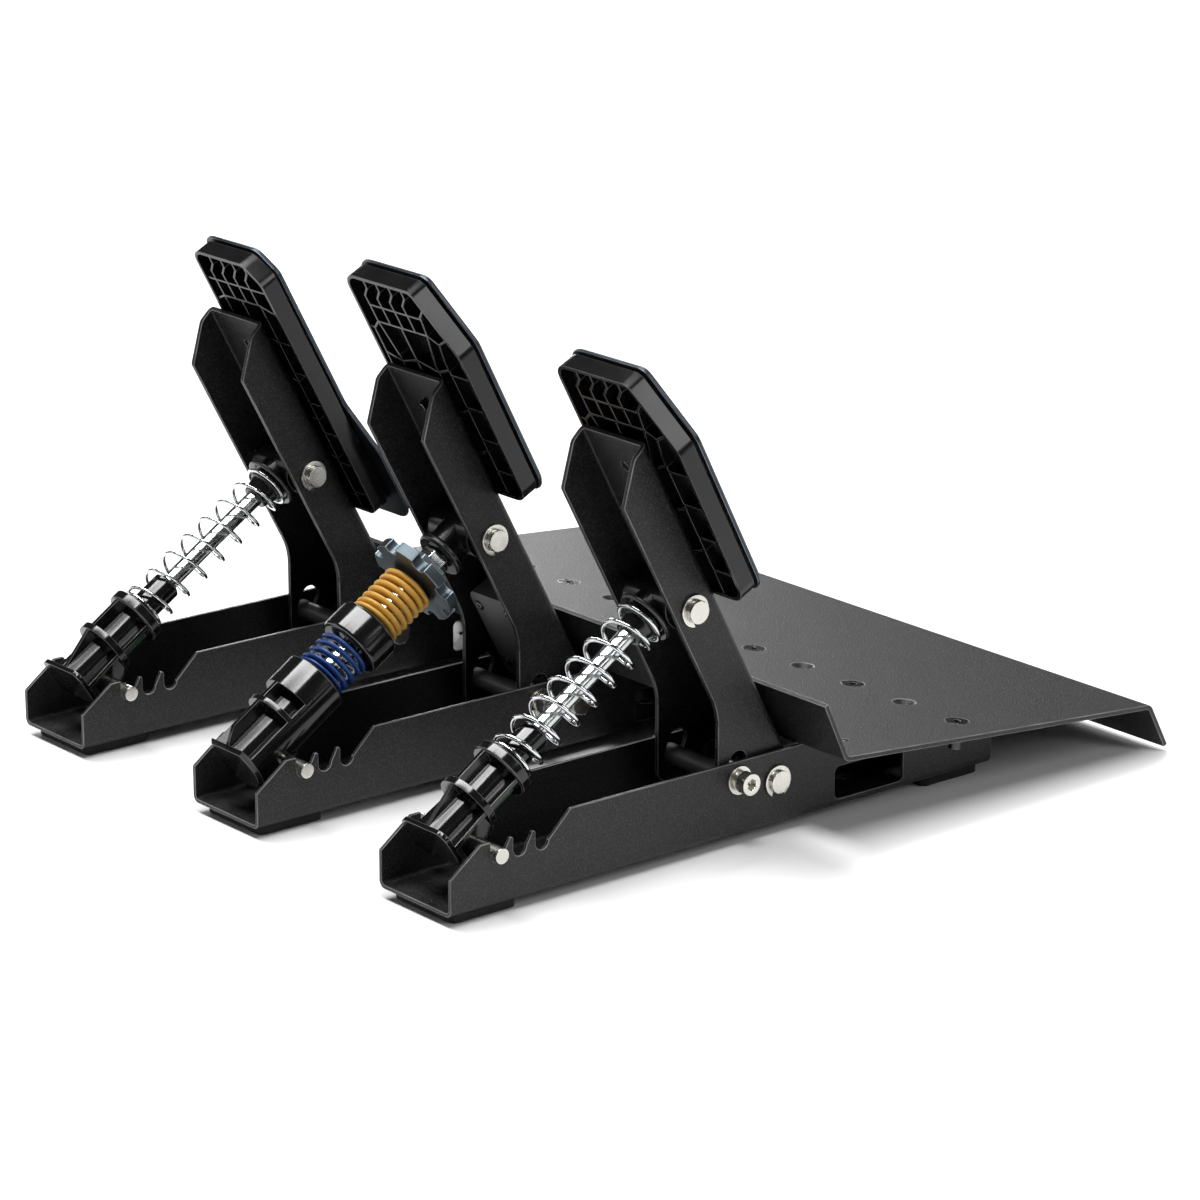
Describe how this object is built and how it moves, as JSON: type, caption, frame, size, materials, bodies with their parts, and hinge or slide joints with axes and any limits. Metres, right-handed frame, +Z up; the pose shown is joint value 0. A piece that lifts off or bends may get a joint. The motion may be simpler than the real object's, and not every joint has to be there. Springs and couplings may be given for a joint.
{
  "type": "sim racing pedal set",
  "caption": "Floor pedal set for driving simulators: clutch, brake and gas pedals on channel rails with spring struts, joined by a bent heel plate.",
  "frame": {"origin": "on the floor under the middle of the whole unit's box", "axes": "+X to the driver's right (gas side), +Y away from the driver (strut side), +Z up"},
  "size_m": [0.3366, 0.3424, 0.2078],
  "materials": {
    "powder_coat": "fine-textured black powder coat",
    "black_steel": "black oxide steel",
    "rubber": "matt black rubber",
    "nickel": "bright nickel plate",
    "gloss_black": "gloss black moulded plastic",
    "satin_black": "satin black moulded plastic",
    "nylon": "dark grey nylon",
    "slate_metal": "blue-grey coated steel",
    "zinc": "bright zinc-plated steel",
    "gold_paint": "gold paint",
    "blue_paint": "dark blue paint",
    "board": "green circuit board"
  },
  "bodies": {
    "base": {"heel_plate": "powder_coat", "heel_plate_screws": "black_steel", "heel_plate_nuts": "black_steel", "locating_pins": "black_steel", "clutch_rail": "powder_coat", "brake_rail": "powder_coat", "gas_rail": "powder_coat", "front_feet": "rubber", "rear_feet": "rubber", "stop_bolts": "nickel", "stop_washers": "nickel", "stop_sleeves": "gloss_black", "stop_nuts": "nickel", "pivot_pins": "nickel", "pivot_clips": "nickel", "strut_pins": "nickel"},
    "clutch_pedal": {"clutch_arm": "powder_coat", "clutch_pivot_bushes": "nylon", "clutch_pad_carrier": "satin_black", "clutch_pad_face": "slate_metal", "clutch_pad_screws": "black_steel", "clutch_upper_pin": "nickel", "clutch_upper_clip": "nickel"},
    "brake_pedal": {"brake_arm": "powder_coat", "brake_pivot_bushes": "nylon", "brake_pad_carrier": "satin_black", "brake_pad_face": "slate_metal", "brake_pad_screws": "black_steel", "brake_upper_pin": "nickel", "brake_upper_clip": "nickel", "brake_sensor_cover": "satin_black", "brake_cover_screws": "black_steel", "brake_sensor_board": "board"},
    "gas_pedal": {"gas_arm": "powder_coat", "gas_pivot_bushes": "nylon", "gas_pad_carrier": "satin_black", "gas_pad_face": "slate_metal", "gas_pad_screws": "black_steel", "gas_upper_pin": "nickel", "gas_upper_clip": "nickel"},
    "clutch_strut": {"clutch_housing": "gloss_black", "clutch_sensor_board": "board", "clutch_spring": "zinc"},
    "clutch_plunger": {"clutch_rod": "zinc", "clutch_rod_magnet": "nickel", "clutch_rod_end": "gloss_black"},
    "gas_strut": {"gas_housing": "gloss_black", "gas_sensor_board": "board", "gas_spring": "zinc"},
    "gas_plunger": {"gas_rod": "zinc", "gas_rod_magnet": "nickel", "gas_rod_end": "gloss_black"},
    "brake_strut": {"brake_housing": "gloss_black", "brake_lower_spring": "blue_paint", "brake_upper_spring": "gold_paint"},
    "brake_plunger": {"brake_rod": "zinc", "brake_rod_end": "gloss_black"},
    "brake_cup": {"brake_spacer": "gloss_black"},
    "brake_adjuster": {"brake_preload_wheel": "slate_metal"}
  },
  "joints": [
    {"name": "clutch_press", "type": "hinge", "parent": "base", "child": "clutch_pedal", "pos_m": [-0.12, 0.01476, 0.0219], "axis": [-1, 0, 0], "range_deg": [0, 18], "stiffness_Nm_per_rad": 12, "springref_deg": -14.32},
    {"name": "brake_press", "type": "hinge", "parent": "base", "child": "brake_pedal", "pos_m": [0, 0.01476, 0.0219], "axis": [-1, 0, 0], "range_deg": [0, 8], "stiffness_Nm_per_rad": 60, "springref_deg": -5.73},
    {"name": "gas_press", "type": "hinge", "parent": "base", "child": "gas_pedal", "pos_m": [0.12, 0.01476, 0.0219], "axis": [-1, 0, 0], "range_deg": [0, 18], "stiffness_Nm_per_rad": 8, "springref_deg": -14.32},
    {"name": "clutch_strut_tilt", "type": "hinge", "parent": "base", "child": "clutch_strut", "pos_m": [-0.12, 0.14956, 0.024], "axis": [-1, 0, 0], "range_deg": [-0.662, 0]},
    {"name": "clutch_compress", "type": "slide", "parent": "clutch_strut", "child": "clutch_plunger", "axis": [0, 0.8388, -0.5445], "range_m": [0, 0.02658], "deforming": ["clutch_spring"]},
    {"name": "brake_strut_tilt", "type": "hinge", "parent": "base", "child": "brake_strut", "pos_m": [0, 0.14956, 0.024], "axis": [-1, 0, 0], "range_deg": [0, 0.25]},
    {"name": "brake_compress", "type": "slide", "parent": "brake_strut", "child": "brake_plunger", "axis": [0, 0.8388, -0.5445], "range_m": [0, 0.01184], "deforming": ["brake_lower_spring", "brake_upper_spring"]},
    {"name": "gas_strut_tilt", "type": "hinge", "parent": "base", "child": "gas_strut", "pos_m": [0.12, 0.14956, 0.024], "axis": [-1, 0, 0], "range_deg": [-0.662, 0]},
    {"name": "gas_compress", "type": "slide", "parent": "gas_strut", "child": "gas_plunger", "axis": [0, 0.8388, -0.5445], "range_m": [0, 0.02658], "deforming": ["gas_spring"]},
    {"name": "brake_cup_slide", "type": "slide", "parent": "brake_strut", "child": "brake_cup", "axis": [0, 0.8388, -0.5445], "range_m": [0, 0.00497]},
    {"name": "preload_turn", "type": "hinge", "parent": "brake_plunger", "child": "brake_adjuster", "pos_m": [0, 0.07838, 0.08093], "axis": [0, -0.8388, 0.5445], "continuous": true}
  ],
  "couplings": [
    {"joint": "clutch_strut_tilt", "follows": "clutch_press", "ratio": -0.034},
    {"joint": "clutch_compress", "follows": "clutch_press", "m_per_rad": 0.0843},
    {"joint": "brake_strut_tilt", "follows": "brake_press", "ratio": 0.025},
    {"joint": "brake_compress", "follows": "brake_press", "m_per_rad": 0.0841},
    {"joint": "gas_strut_tilt", "follows": "gas_press", "ratio": -0.034},
    {"joint": "gas_compress", "follows": "gas_press", "m_per_rad": 0.0843},
    {"joint": "brake_cup_slide", "follows": "brake_press", "m_per_rad": 0.0349}
  ]
}
